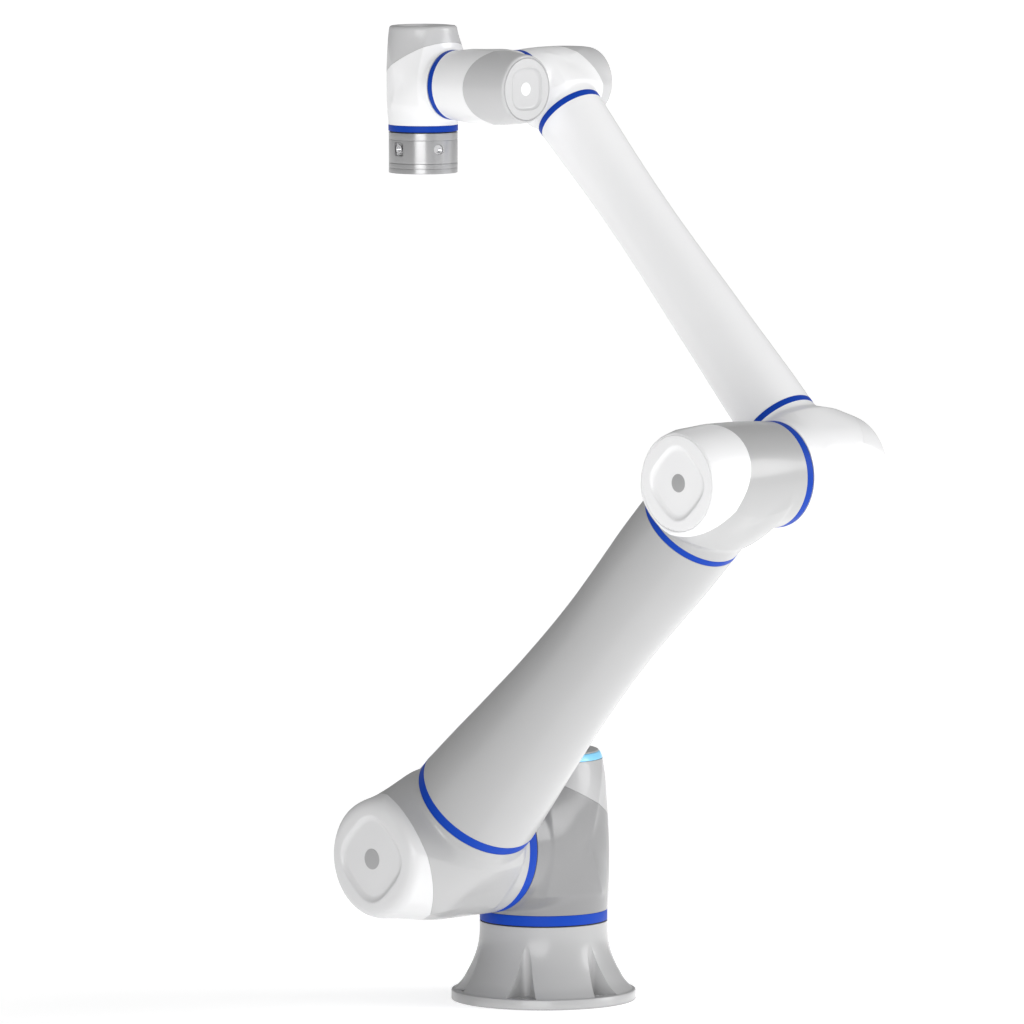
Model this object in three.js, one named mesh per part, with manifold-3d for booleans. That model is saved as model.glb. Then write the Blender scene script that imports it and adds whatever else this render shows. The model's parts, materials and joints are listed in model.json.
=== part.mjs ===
// Six-axis collaborative robot arm, standing on its base flange with the upper arm leaning 45 degrees
// towards +X and the forearm folded 45 degrees back over it. Millimetres, +Z up, origin at the centre
// of the base's mounting face, and the first joint's axis is the Z axis.
import * as THREE from 'three';
import { mergeVertices } from 'three/addons/utils/BufferGeometryUtils.js';
import Module from 'manifold-3d';

const wasm = await Module();
wasm.setup();

// ---- Driving dimensions -------------------------------------------------------------------------
const GAP = 0.3; // between two pieces that touch
const SIDES = 24; // facets round every outside surface
const INNER_SIDES = 14; // facets round cavities and drive units
const SHOULDER_Z = 236; // height of the second joint's axis
const UPPER_ARM = 821; // shoulder axis to elbow axis
const FOREARM = 748; // elbow axis to first wrist axis
const UPPER_ARM_Y = -214; // plane of the upper arm's tube
const FOREARM_Y = -41.7; // plane of the forearm's tube
const WRIST_STEP = 64.3; // a wrist housing's axis to the centre of either of its ring joints
const ARM_TILT = Math.PI / 4; // of the upper arm and of the forearm, from vertical
const RING_SHADOW = 2; // open groove on the fixed side of each large moving joint
const LARGE_RING = 15; // widths of the blue rings on the moving joints
const MEDIUM_RING = 12;
const WRIST_RING = 9;
const RUNNING_CLEARANCE = 2; // round a shaft, to a faceted piece that turns past it

const BASE = {
  flangeRadius: 135,
  flangeHeight: 15,
  top: 115.5,
  cavityRadius: 83,
  floor: 12,
  topWall: 9,
  topBore: 35,
  boltCircle: 118,
  boltHole: 6.75,
  pocketRadius: 23.5,
  pocketSpacing: Math.PI / 3,
};

// Outside profiles are [radius, distance] pairs: a barrel's from its ring end to its cap end, measured
// from where the barrel and the stub cross, and a stub's from that crossing outwards.
const TURRET = {
  barrel: [[93.4, -103.2], [94.5, -86], [95.6, -56], [96, -20], [94, 34], [92, 64], [89.8, 94], [86, 119]],
  stub: [[90, 0], [98, 60], [98, 109.8]],
  wall: 6,
  endWall: 7,
  topWall: 5,
  stubBore: 35,
  seam: { height: 66.5, slope: 0.485 },
  driveEnd: -10,
};
const UPPER_BASE = {
  barrel: [[98.8, -86.9], [99, 20], [95, 70], [89, 95], [86.5, 125], [83.2, 135.6], [78, 139.5], [70, 141]],
  stub: [[92, 0], [97, 60], [94.5, 104.2]],
  wall: 6,
  endWall: 7,
  topWall: 9,
  stubBore: 35,
  seam: { height: 79.7, slope: 0.496 },
  ringClearance: 100,
  driveEnd: 30,
};
const ELBOW = {
  barrel: [[76, -82.5], [79.5, -20], [80, 30], [77.5, 60], [74.7, 86], [67.1, 103.2], [60, 106.5]],
  stub: [[72, 0], [77, 50], [76.5, 91.7]],
  wall: 5,
  endWall: 6,
  topWall: 8,
  stubBore: 28,
  seam: { height: 68, slope: 0.5 },
  driveEnd: 20,
};
const FOREARM_BASE = {
  barrel: [[76, -75.5], [79.5, -30], [80, 10], [77.5, 45], [74.5, 65], [70, 77.7], [62, 81.7]],
  stub: [[62, 0], [59, 62], [55.5, 85.2]],
  wall: 5,
  endWall: 6,
  topWall: 8,
  stubBore: 25,
  bottomWall: 6,
  bottomBore: 25,
  seam: { height: 44, slope: 0.5 },
};
const WRIST = {
  barrel: [[50.5, -59.5], [53, -35], [53.4, 5], [52.6, 40], [49.8, 75], [46, 82], [40, 85]],
  stub: [[48, 0], [51.5, 42], [50.5, 58.3]],
  wall: 4,
  endWall: 5,
  topWall: 7.5,
  stubBore: 16,
  seam: { height: 34, slope: 0.52 },
  driveEnd: 10,
};

// Drive units: the radii of the output flange, the case, the bore through them and the driver board,
// the wall of the hollow rotor shaft, and the output flange's length.
const LARGE_DRIVE = { flange: 83.5, case: 76, bore: 22.3, shaftWall: 4, flangeLength: 13.6, board: 60 };
const MEDIUM_DRIVE = { flange: 64, case: 58, bore: 18.3, shaftWall: 3, flangeLength: 12.6, board: 48 };
const SMALL_DRIVE = { flange: 41, case: 38, bore: 12.3, shaftWall: 2.5, flangeLength: 10, board: 32 };

// ---- Materials ----------------------------------------------------------------------------------
const paint = (color, roughness = 0.35, metalness = 0) => ({ color, roughness, metalness });
const BASE_GREY = paint(0x9c9ea2);
const CAP_GREY = paint(0xc9cbce, 0.3);
const ARM_GREY = paint(0xb9bcc0);
const WHITE = paint(0xf1f2f3, 0.28);
const BLUE = paint(0x1846c8, 0.4);
const CYAN = paint(0x8fdcf7, 0.3);
const DARK = paint(0x26282b, 0.6);
const STEEL = paint(0xb4b6b8, 0.32, 1);
const ALUMINIUM = paint(0xa8abae, 0.4, 1);
const BOARD_GREEN = paint(0x1d6b45, 0.5);

// ---- Shape helpers ------------------------------------------------------------------------------
function solidOf(geometry) {
  const bare = geometry.clone();
  bare.deleteAttribute('normal');
  bare.deleteAttribute('uv');
  const merged = mergeVertices(bare, 1e-4);
  const corners = merged.index.array;
  const faces = [];
  for (let i = 0; i < corners.length; i += 3) {
    const [a, b, c] = corners.slice(i, i + 3);
    if (a !== b && b !== c && c !== a) faces.push(a, b, c);
  }
  const mesh = new wasm.Mesh({
    numProp: 3,
    vertProperties: new Float32Array(merged.attributes.position.array),
    triVerts: new Uint32Array(faces),
  });
  return new wasm.Manifold(mesh);
}

// A solid of revolution about Z, from a closed outline of [radius, z] corners.
function turned(outline, sides = SIDES) {
  let area = 0;
  outline.forEach(([r, z], i) => {
    const [r2, z2] = outline[(i + 1) % outline.length];
    area += r * z2 - r2 * z;
  });
  const corners = area > 0 ? outline : [...outline].reverse();
  const closed = [...corners, corners[0]].map(([r, z]) => new THREE.Vector2(r, z));
  return solidOf(new THREE.LatheGeometry(closed, sides).rotateX(Math.PI / 2));
}

const disc = (radius, low, high, sides = SIDES) =>
  turned([[0, low], [radius, low], [radius, high], [0, high]], sides);
const collar = (inner, outer, low, high, sides = SIDES) =>
  turned([[inner, low], [outer, low], [outer, high], [inner, high]], sides);
const alongX = (solid) => solid.rotate([0, 90, 0]);
const alongY = (solid) => solid.rotate([-90, 0, 0]);
const box = (low, high) => {
  const size = high.map((v, i) => v - low[i]);
  const middle = high.map((v, i) => (v + low[i]) / 2);
  return solidOf(new THREE.BoxGeometry(...size).translate(...middle));
};

// A solid of revolution with the given outside profile, closed to the axis at both ends.
const filled = (profile, sides = SIDES) =>
  turned([[0, profile[0][1]], ...profile, [0, profile.at(-1)[1]]], sides);

// The same profile, a wall thinner, between two heights.
function hollowOf(profile, wall, low, high) {
  const radiusAt = (z) => {
    const after = Math.max(1, profile.findIndex(([, end]) => end >= z));
    const [r1, z1] = profile[after - 1];
    const [r2, z2] = profile[after];
    return r1 + ((r2 - r1) * (z - z1)) / (z2 - z1);
  };
  const between = profile.filter(([, z]) => z > low + 1 && z < high - 1);
  const ends = [Math.max(low, profile[0][1]), high];
  const middle = between.map(([r, z]) => [r - wall, z]);
  return filled([[radiusAt(ends[0]) - wall, low], ...middle, [radiusAt(ends[1]) - wall, high]], INNER_SIDES);
}

// A square with rounded corners, as a prism along Z.
function roundedSquare(halfSide, corner, low, high) {
  const shape = new THREE.Shape();
  const arm = halfSide - corner;
  shape.absarc(arm, arm, corner, 0, Math.PI / 2);
  shape.absarc(-arm, arm, corner, Math.PI / 2, Math.PI);
  shape.absarc(-arm, -arm, corner, Math.PI, 1.5 * Math.PI);
  shape.absarc(arm, -arm, corner, 1.5 * Math.PI, 2 * Math.PI);
  const options = { depth: high - low, bevelEnabled: false, curveSegments: 5 };
  return solidOf(new THREE.ExtrudeGeometry(shape, options).translate(0, 0, low));
}

function mesh(name, solid, finish) {
  const { vertProperties, triVerts } = solid.getMesh();
  const geometry = new THREE.BufferGeometry();
  geometry.setAttribute('position', new THREE.BufferAttribute(vertProperties, 3));
  geometry.setIndex(new THREE.BufferAttribute(triVerts, 1));
  geometry.computeVertexNormals();
  const made = new THREE.Mesh(geometry, new THREE.MeshStandardMaterial(finish));
  made.name = name;
  return made;
}

// ---- Housings -----------------------------------------------------------------------------------
// A housing is a barrel along Z with a stub along +X. It is cut by a slanted plane into a casting and
// a cap, and both are shells.
function housingShells(spec) {
  const { barrel, stub, wall, seam } = spec;
  const low = barrel[0][1];
  const top = barrel.at(-1)[1];
  const reach = stub.at(-1)[1];
  const bottomWall = spec.bottomWall ?? -1;
  let outer = filled(barrel).add(alongX(filled(stub)));
  if (spec.ringClearance) outer = outer.subtract(disc(spec.ringClearance, low - 60, low));
  let inner = hollowOf(barrel, wall, low + bottomWall, top - spec.topWall);
  const stubHollow = hollowOf(stub, wall, 0, reach - spec.endWall);
  const floorCut = disc(3 * top, low - 100, low + Math.max(bottomWall, wall));
  inner = inner.add(alongX(stubHollow).subtract(floorCut));
  inner = inner.add(alongX(disc(spec.stubBore, 0, reach + 1, INNER_SIDES)));
  if (spec.bottomBore) inner = inner.add(disc(spec.bottomBore, low - 1, 0, INNER_SIDES));
  const shell = outer.subtract(inner);
  const length = Math.hypot(1, seam.slope);
  const up = [-seam.slope / length, 0, 1 / length];
  const down = up.map((v) => -v);
  const height = seam.height / length;
  return {
    casting: shell.trimByPlane(down, -height + GAP / 2),
    cap: shell.trimByPlane(up, height + GAP / 2),
  };
}

// The shallow dish in a cap's end face.
function dished(cap, spec, halfSide, corner) {
  const top = spec.barrel.at(-1)[1];
  return cap.subtract(roundedSquare(halfSide, corner, top - 2.5, top + 5));
}

// ---- Drive units --------------------------------------------------------------------------------
// Output flange, case, hollow rotor shaft and driver board in the barrel of a joint's capped housing.
// The output flange lies against the neighbour's face at `face` and turns with the neighbour.
function driveUnit(joint, size, housing, face) {
  const [endRadius, low] = housing.barrel[0];
  const end = housing.driveEnd;
  const flangeEnd = face + GAP + size.flangeLength;
  const rimRadius = endRadius - housing.wall - 1 - GAP;
  const rimStart = low + GAP;
  const rimEnd = rimStart + 8;
  const caseOutline = [
    [size.bore, flangeEnd + GAP], [size.case, flangeEnd + GAP], [size.case, rimStart], [rimRadius, rimStart],
    [rimRadius, rimEnd], [size.case, rimEnd], [size.case, end], [size.bore, end],
  ];
  const boardStart = end + GAP;
  const shaftRadius = size.bore - GAP;
  const flange = collar(size.bore + RUNNING_CLEARANCE, size.flange, face + GAP, flangeEnd, INNER_SIDES);
  const shaft = collar(shaftRadius - size.shaftWall, shaftRadius, face + 3, boardStart + 8, INNER_SIDES);
  const board = collar(size.bore, size.board, boardStart, boardStart + 2, INNER_SIDES);
  return [
    mesh(`${joint}_output_flange`, flange, STEEL),
    mesh(`${joint}_drive_case`, turned(caseOutline, INNER_SIDES), ALUMINIUM),
    mesh(`${joint}_rotor_shaft`, shaft, STEEL),
    mesh(`${joint}_driver_board`, board, BOARD_GREEN),
  ];
}

// ---- Placing ------------------------------------------------------------------------------------
// A group whose Z runs along the barrel towards the cap and whose X runs along the stub.
function placed(origin, barrelAxis, stubAxis, children) {
  const z = new THREE.Vector3(...barrelAxis);
  const x = new THREE.Vector3(...stubAxis);
  const basis = new THREE.Matrix4().makeBasis(x, new THREE.Vector3().crossVectors(z, x), z);
  const group = new THREE.Group();
  group.quaternion.setFromRotationMatrix(basis);
  group.position.set(...origin);
  group.add(...children);
  return group;
}

const S = Math.sin(ARM_TILT);
const C = Math.cos(ARM_TILT);
const shoulder = [0, 0, SHOULDER_Z];
const upperArmFoot = [0, UPPER_ARM_Y, SHOULDER_Z];
const elbow = [UPPER_ARM * S, UPPER_ARM_Y, SHOULDER_Z + UPPER_ARM * C];
const forearmFoot = [elbow[0], FOREARM_Y, elbow[2]];
const wrist1 = [elbow[0] - FOREARM * S, FOREARM_Y, elbow[2] + FOREARM * C];
const wrist2 = [wrist1[0], FOREARM_Y - 2 * WRIST_STEP, wrist1[2]];
const wrist3 = [wrist1[0] - 2 * WRIST_STEP, wrist2[1], wrist1[2]];
const upperDirection = [S, 0, C];
const upperBack = [-S, 0, -C];
const forearmDirection = [-S, 0, C];
const forearmBack = [S, 0, -C];

// ---- Base ---------------------------------------------------------------------------------------
function baseParts() {
  const { flangeRadius, flangeHeight, top, boltCircle, pocketRadius } = BASE;
  const outline = [
    [0, 0], [flangeRadius, 0], [flangeRadius, flangeHeight - 1.5], [flangeRadius - 1.5, flangeHeight],
    [129, flangeHeight + 1], [120.2, 25.8], [111.4, 40.5], [104, 55.2], [98.5, 69.9], [95, 84.7],
    [93.6, 99.4], [93.5, top], [0, top],
  ];
  const panelTop = 92;
  const panelBottom = 40;
  const panelHalf = 25;
  const panelFace = 98;
  const boss = box([-panelHalf - 4, 70, panelBottom - 5], [panelHalf + 4, panelFace + 2, panelTop + 4]);
  let casting = turned(outline).add(boss);
  const cavity = disc(BASE.cavityRadius, BASE.floor, top - BASE.topWall, INNER_SIDES);
  casting = casting.subtract(cavity.add(disc(BASE.topBore, BASE.floor, top + 1, INNER_SIDES)));
  const windowLow = [-panelHalf - GAP, 60, panelBottom - GAP];
  casting = casting.subtract(box(windowLow, [panelHalf + GAP, panelFace + 5, panelTop + GAP]));
  for (let i = 0; i < 6; i += 1) {
    const angle = i * BASE.pocketSpacing;
    const place = [boltCircle * Math.cos(angle), boltCircle * Math.sin(angle), 0];
    const pocket = disc(pocketRadius, flangeHeight, top - 20, INNER_SIDES);
    casting = casting.subtract(pocket.add(disc(BASE.boltHole, -1, top - 20, 12)).translate(place));
  }
  const socketHeight = (panelTop + panelBottom) / 2;
  const socketRadius = 13;
  const hole = alongY(disc(socketRadius + GAP, 60, 120, INNER_SIDES)).translate([0, 0, socketHeight]);
  const panel = box([-panelHalf, panelFace - 10, panelBottom], [panelHalf, panelFace, panelTop]);
  const socketOutline = [
    [0, panelFace - 18], [socketRadius, panelFace - 18], [socketRadius, panelFace + GAP],
    [socketRadius + 4, panelFace + GAP], [socketRadius + 4, panelFace + 5], [socketRadius - 3, panelFace + 5],
    [socketRadius - 3, panelFace - 8], [0, panelFace - 8],
  ];
  const socket = alongY(turned(socketOutline, INNER_SIDES)).translate([0, 0, socketHeight]);
  return [
    mesh('base_casting', casting, BASE_GREY),
    mesh('base_connector_panel', panel.subtract(hole), DARK),
    mesh('base_socket', socket, STEEL),
  ];
}

// ---- Shoulder -----------------------------------------------------------------------------------
function shoulderParts() {
  const top = TURRET.barrel.at(-1)[1];
  const low = TURRET.barrel[0][1];
  const shells = housingShells(TURRET);
  const lidOpening = 60;
  const ringInner = 72;
  const ringTop = top + 10;
  const lidTop = top + 12.5;
  const lightOutline = [[ringInner, top + GAP], [86, top + GAP], [82, ringTop], [ringInner, ringTop]];
  const dish = disc(66, lidTop - 2.5, lidTop + 1);
  const lidOutline = [
    [0, top + GAP], [ringInner - GAP, top + GAP], [ringInner - GAP, ringTop + GAP],
    [81, ringTop + GAP], [79.5, lidTop], [0, lidTop],
  ];
  return [
    jointRing('j1_ring', 86, 93.5, low - GAP, LARGE_RING),
    mesh('shoulder_housing', shells.casting, BASE_GREY),
    mesh('shoulder_cap', shells.cap.subtract(disc(lidOpening, top - 20, top + 1, INNER_SIDES)), CAP_GREY),
    mesh('status_light_ring', turned(lightOutline), CYAN),
    mesh('shoulder_lid', turned(lidOutline).subtract(dish), CAP_GREY),
  ];
}

// ---- Tubes and rings ----------------------------------------------------------------------------
// A tapered tube along X from a housing's crossing, with the given outside profile.
function tubeSolid(profile, wall) {
  const inside = profile.filter((_, i) => i % 2 === 0 || i === profile.length - 1).reverse();
  return alongX(turned([...profile, ...inside.map(([r, x]) => [r - wall, x])]));
}

const jointRing = (name, inner, outer, end, width) =>
  mesh(name, collar(inner, outer, end - width, end), BLUE);
const tubeRing = (name, { inner, radius, start, width }) =>
  mesh(name, alongX(collar(inner, radius, start, start + width)), BLUE);

// ---- Upper arm ----------------------------------------------------------------------------------
const LOWER_RING = { start: 104.5, width: 14.5, inner: 70, radius: 94.6 };
const UPPER_RING = { start: 92, width: 10, inner: 58, radius: 76.8 };

function upperArmParts() {
  const shells = housingShells(UPPER_BASE);
  const low = UPPER_BASE.barrel[0][1];
  const tubeStart = LOWER_RING.start + LOWER_RING.width + GAP;
  const tubeEnd = UPPER_ARM - UPPER_RING.start - UPPER_RING.width - GAP;
  const tube = [
    [94, tubeStart], [92.5, 140], [88.8, 190], [84, 240], [79.8, 290], [75.6, 340], [72.5, 395],
    [70.6, 465], [71.4, 530], [74.2, 610], [76.6, 675], [76.8, tubeEnd],
  ];
  return [
    jointRing('j2_ring', 86, 98.8, low - GAP, LARGE_RING),
    mesh('upper_arm_base_housing', shells.casting, ARM_GREY),
    mesh('upper_arm_base_cap', dished(shells.cap, UPPER_BASE, 52, 24), WHITE),
    tubeRing('upper_arm_lower_ring', LOWER_RING),
    mesh('upper_arm_tube', tubeSolid(tube, 5), ARM_GREY),
  ];
}

function elbowParts() {
  const shells = housingShells(ELBOW);
  const low = ELBOW.barrel[0][1];
  return [
    jointRing('j3_ring', 66, 76, low - GAP, MEDIUM_RING),
    mesh('elbow_housing', shells.casting, ARM_GREY),
    mesh('elbow_cap', dished(shells.cap, ELBOW, 42, 20), WHITE),
    tubeRing('upper_arm_upper_ring', UPPER_RING),
  ];
}

// ---- Forearm ------------------------------------------------------------------------------------
const FOREARM_LOWER_RING = { start: 85.5, width: 9, inner: 42, radius: 55.6 };
const FOREARM_UPPER_RING = { start: 58.6, width: 9.4, inner: 38, radius: 51 };

function forearmParts() {
  const shells = housingShells(FOREARM_BASE);
  const tubeStart = FOREARM_LOWER_RING.start + FOREARM_LOWER_RING.width + GAP;
  const tubeEnd = FOREARM - FOREARM_UPPER_RING.start - FOREARM_UPPER_RING.width - GAP;
  const tube = [
    [55.4, tubeStart], [54.5, 160], [52.9, 210], [50, 310], [47, 410], [45.8, 480], [46.4, 545],
    [48.6, 620], [50.8, tubeEnd],
  ];
  return [
    mesh('forearm_base_housing', shells.casting, WHITE),
    mesh('forearm_base_cap', dished(shells.cap, FOREARM_BASE, 42, 20), WHITE),
    tubeRing('forearm_lower_ring', FOREARM_LOWER_RING),
    mesh('forearm_tube', tubeSolid(tube, 4), WHITE),
  ];
}

// ---- Wrist --------------------------------------------------------------------------------------
function wristParts(name, ringName) {
  const shells = housingShells(WRIST);
  const low = WRIST.barrel[0][1];
  return [
    jointRing(ringName, 44, 50.6, low - GAP, WRIST_RING),
    mesh(`${name}_housing`, shells.casting, WHITE),
    mesh(`${name}_cap`, dished(shells.cap, WRIST, 31, 17), CAP_GREY),
  ];
}

// ---- Tool flange, in the third wrist housing's axes: Z up along the sixth joint ------------------
const TOOL = {
  radius: 50,
  top: -70.6,
  seam: -115,
  face: -129.5,
  cavity: 34,
  boltCircle: 40,
  boltHole: 3.4,
  boltDepth: 11,
  pilotRadius: 25,
  pilotDepth: 6,
  connectorZ: -94,
};

function toolParts() {
  const { radius, top, seam, face, connectorZ } = TOOL;
  const bodyOutline = [
    [15, top], [radius, top], [radius, seam + GAP], [TOOL.cavity, seam + GAP], [TOOL.cavity, top - 6],
    [15, top - 6],
  ];
  const outward = (solid, angle) => alongX(solid).translate([0, 0, connectorZ]).rotate([0, 0, angle]);
  const recessA = box([-8.5, -radius - 2, connectorZ - 10], [8.5, -radius + 7, connectorZ + 10]);
  const angleA = -90;
  const angleB = -18;
  let body = turned(bodyOutline).subtract(recessA);
  body = body.subtract(outward(disc(6 + GAP, 20, radius + 2, INNER_SIDES), angleA));
  body = body.subtract(outward(disc(7 + GAP, 20, radius + 2, INNER_SIDES), angleB));
  const pinWell = 4;
  const connectorA = [[0, 36], [6, 36], [6, 49.5], [pinWell, 49.5], [pinWell, 44], [0, 44]];
  const connectorB = [[0, 36], [7, 36], [7, 48.5], [pinWell, 48.5], [pinWell, 44], [0, 44]];
  let plate = disc(radius, face, seam);
  plate = plate.subtract(disc(TOOL.pilotRadius, face - 1, face + TOOL.pilotDepth));
  for (let i = 0; i < 6; i += 1) {
    const hole = disc(TOOL.boltHole, face - 1, face + TOOL.boltDepth, 12);
    plate = plate.subtract(hole.translate([TOOL.boltCircle, 0, 0]).rotate([0, 0, 60 * i]));
  }
  return [
    mesh('tool_flange_body', body, STEEL),
    mesh('tool_connector_a', outward(turned(connectorA, INNER_SIDES), angleA), STEEL),
    mesh('tool_connector_b', outward(turned(connectorB, INNER_SIDES), angleB), STEEL),
    mesh('tool_mounting_plate', plate, STEEL),
  ];
}

// ---- Assembly -----------------------------------------------------------------------------------
// The neighbour's face below each joint, along that joint's own barrel.
const turretFace = BASE.top - SHOULDER_Z;
const upperArmFace = UPPER_BASE.barrel[0][1] - GAP - LARGE_RING - RING_SHADOW;
const elbowFace = ELBOW.barrel[0][1] - GAP - MEDIUM_RING - RING_SHADOW;
const wristFace = -2 * WRIST_STEP + WRIST.stub.at(-1)[1];
const group = new THREE.Group();
group.add(...baseParts());
group.add(placed(shoulder, [0, 0, 1], [0, -1, 0], [
  ...shoulderParts(),
  ...driveUnit('j1', LARGE_DRIVE, TURRET, turretFace),
]));
group.add(placed(upperArmFoot, [0, -1, 0], upperDirection, [
  ...upperArmParts(),
  ...driveUnit('j2', LARGE_DRIVE, UPPER_BASE, upperArmFace),
]));
group.add(placed(elbow, [0, -1, 0], upperBack, [
  ...elbowParts(),
  ...driveUnit('j3', MEDIUM_DRIVE, ELBOW, elbowFace),
]));
group.add(placed(forearmFoot, [0, 1, 0], forearmDirection, forearmParts()));
group.add(placed(wrist1, [0, 1, 0], forearmBack, [
  tubeRing('forearm_upper_ring', FOREARM_UPPER_RING),
  ...wristParts('wrist_1', 'j4_ring'),
  ...driveUnit('j4', SMALL_DRIVE, WRIST, wristFace),
]));
group.add(placed(wrist2, [1, 0, 0], [0, 1, 0], [
  ...wristParts('wrist_2', 'j5_ring'),
  ...driveUnit('j5', SMALL_DRIVE, WRIST, wristFace),
]));
group.add(placed(wrist3, [0, 0, 1], [1, 0, 0], [
  ...wristParts('wrist_3', 'j6_ring'),
  ...driveUnit('j6', SMALL_DRIVE, WRIST, wristFace - GAP),
  ...toolParts(),
]));

export default group;
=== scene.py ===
"""Six-axis collaborative robot arm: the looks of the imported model, round its own joint axes.

Shapes are worked out in millimetres in each joint housing's own axes (Z along its barrel towards the
cap, X along its stub) and placed in metres in the frame of the CAD model.
"""
import json
import math

import bmesh
import bpy
import numpy as np
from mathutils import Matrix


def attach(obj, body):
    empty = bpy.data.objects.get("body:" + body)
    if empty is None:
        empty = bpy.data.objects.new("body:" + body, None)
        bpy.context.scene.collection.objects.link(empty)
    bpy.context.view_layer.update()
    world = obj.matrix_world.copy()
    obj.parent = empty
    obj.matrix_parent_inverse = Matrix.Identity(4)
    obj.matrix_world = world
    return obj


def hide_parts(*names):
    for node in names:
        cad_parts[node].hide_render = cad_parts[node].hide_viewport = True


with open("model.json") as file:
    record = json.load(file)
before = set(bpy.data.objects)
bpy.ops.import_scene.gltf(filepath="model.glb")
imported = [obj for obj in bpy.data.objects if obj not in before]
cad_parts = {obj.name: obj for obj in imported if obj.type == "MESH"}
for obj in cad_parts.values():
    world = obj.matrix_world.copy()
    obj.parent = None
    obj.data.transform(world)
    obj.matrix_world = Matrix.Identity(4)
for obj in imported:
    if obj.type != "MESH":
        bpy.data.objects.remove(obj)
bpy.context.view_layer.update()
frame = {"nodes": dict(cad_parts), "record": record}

import openvdb
from mathutils import Matrix, Vector

MM = 0.001
SHARP_ANGLE = math.radians(32)  # edges that turn by more than this are shaded sharp
GAP = 0.3  # mm, between two pieces that touch
GROOVE = 2.0  # mm, the dark groove beside each moving joint's ring
WRIST_GROOVE = 1.5  # mm, the same on the three wrist joints

# ---- Joint centres, in metres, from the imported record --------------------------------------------
CENTRE = {j["name"]: Vector(j["pos_m"]) for j in frame["record"]["behaviour"]["joints"]}
SHOULDER = CENTRE["shoulder_yaw"]
UPPER_FOOT = CENTRE["shoulder_pitch"]
ELBOW = CENTRE["elbow"]
WRIST_1 = CENTRE["wrist_pitch"]
WRIST_2 = CENTRE["wrist_yaw"]
WRIST_3 = CENTRE["wrist_roll"]
FOREARM_FOOT = Vector((ELBOW.x, WRIST_1.y, ELBOW.z))
UP = Vector((0, 0, 1))
UPPER_ALONG = (ELBOW - UPPER_FOOT).normalized()
FOREARM_ALONG = (WRIST_1 - FOREARM_FOOT).normalized()
UPPER_LENGTH = (ELBOW - UPPER_FOOT).length / MM
FOREARM_LENGTH = (WRIST_1 - FOREARM_FOOT).length / MM


def axes(origin, barrel, stub):
    """The matrix from a housing's own millimetres to the frame's metres."""
    z, x = Vector(barrel), Vector(stub)
    turn = Matrix((x, z.cross(x), z)).transposed().to_4x4()
    return Matrix.Translation(origin) @ turn @ Matrix.Scale(MM, 4)


PLACE = {
    "base": axes(Vector((0, 0, 0)), (0, 0, 1), (1, 0, 0)),
    "turret": axes(SHOULDER, (0, 0, 1), (0, -1, 0)),
    "upper_base": axes(UPPER_FOOT, (0, -1, 0), UPPER_ALONG),
    "elbow": axes(ELBOW, (0, -1, 0), -UPPER_ALONG),
    "forearm_base": axes(FOREARM_FOOT, (0, 1, 0), FOREARM_ALONG),
    "wrist_1": axes(WRIST_1, (0, 1, 0), -FOREARM_ALONG),
    "wrist_2": axes(WRIST_2, (1, 0, 0), (0, 1, 0)),
    "wrist_3": axes(WRIST_3, (0, 0, 1), (1, 0, 0)),
}

# ---- Housing shapes, mm --------------------------------------------------------------------------
# barrel: (radius, height) from the ring end to the cap; stub: (radius, reach) from the axis outwards.
# end: height of the end face at its centre, how far it falls to the rim, and the rim's roundness.
# seam: the slanted cut between casting and cap, as height at the axis and slope towards the stub.
# stub_end: where the stub is cut off. blend: how widely stub and barrel flow together.
# voxel and wall: mesh size and shell thickness. ring_clearance: radius kept free round the ring.
# dish: the hollow's half side, squareness and depth. rim_line: the radius of the groove round the face.
SHAPES = {
    "turret": dict(
        barrel=[(93.3, -103.2), (94.5, -86), (95.6, -56), (96, -20), (95.2, 10), (93.6, 42),
                (92, 64), (89.8, 94), (86, 119)],
        stub=[(92, 0), (96.5, 60), (98, 109.8)], stub_end=109.8, blend=70,
        seam=(66.5, 0.485), voxel=3.5, wall=3.0),
    "upper_base": dict(
        barrel=[(98.7, -86.9), (98.8, 0), (98, 30), (94.5, 62), (90.9, 86), (88.3, 106), (86.5, 126),
                (85, 141)],
        stub=[(92, 0), (97, 60), (94.5, 104.2)], stub_end=104.2, blend=70, end=(142, 4.5, 15),
        seam=(79.7, 0.496), voxel=3.5, wall=3.0, dish=(55.5, 3.0, 5.0), ring_clearance=100.2),
    "elbow": dict(
        barrel=[(75.8, -82.5), (78.5, -40), (79.6, 0), (79.6, 30), (77.6, 60), (74.7, 86), (70, 108)],
        stub=[(72, 0), (77, 50), (76.3, 91.7)], stub_end=91.7, blend=60, end=(105.5, 1.5, 3),
        seam=(68, 0.5), voxel=3.0, wall=2.6, dish=(46.7, 3.0, 4.2), rim_line=68.2),
    "forearm_base": dict(
        barrel=[(75.8, -75.5), (78.8, -40), (79.8, -5), (79, 25), (76.8, 50), (74, 68), (71, 82)],
        stub=[(66, 0), (59.5, 60), (55.4, 85.2)], stub_end=85.2, blend=60, end=(81.2, 1.5, 4),
        seam=(44, 0.5), voxel=3.0, wall=2.6, dish=(45.5, 3.0, 4.2), rim_line=67.8),
    "wrist": dict(
        barrel=[(50.4, -59.5), (52.4, -35), (53.3, 0), (52.9, 30), (51.5, 58), (49.6, 77), (48.5, 86)],
        stub=[(48, 0), (51, 40), (50.4, 58.3)], stub_end=58.3, blend=42, end=(84.6, 1.2, 4),
        seam=(34, 0.52), voxel=2.2, wall=2.0, dish=(30, 3.2, 3.2), rim_line=45.2),
}


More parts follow.
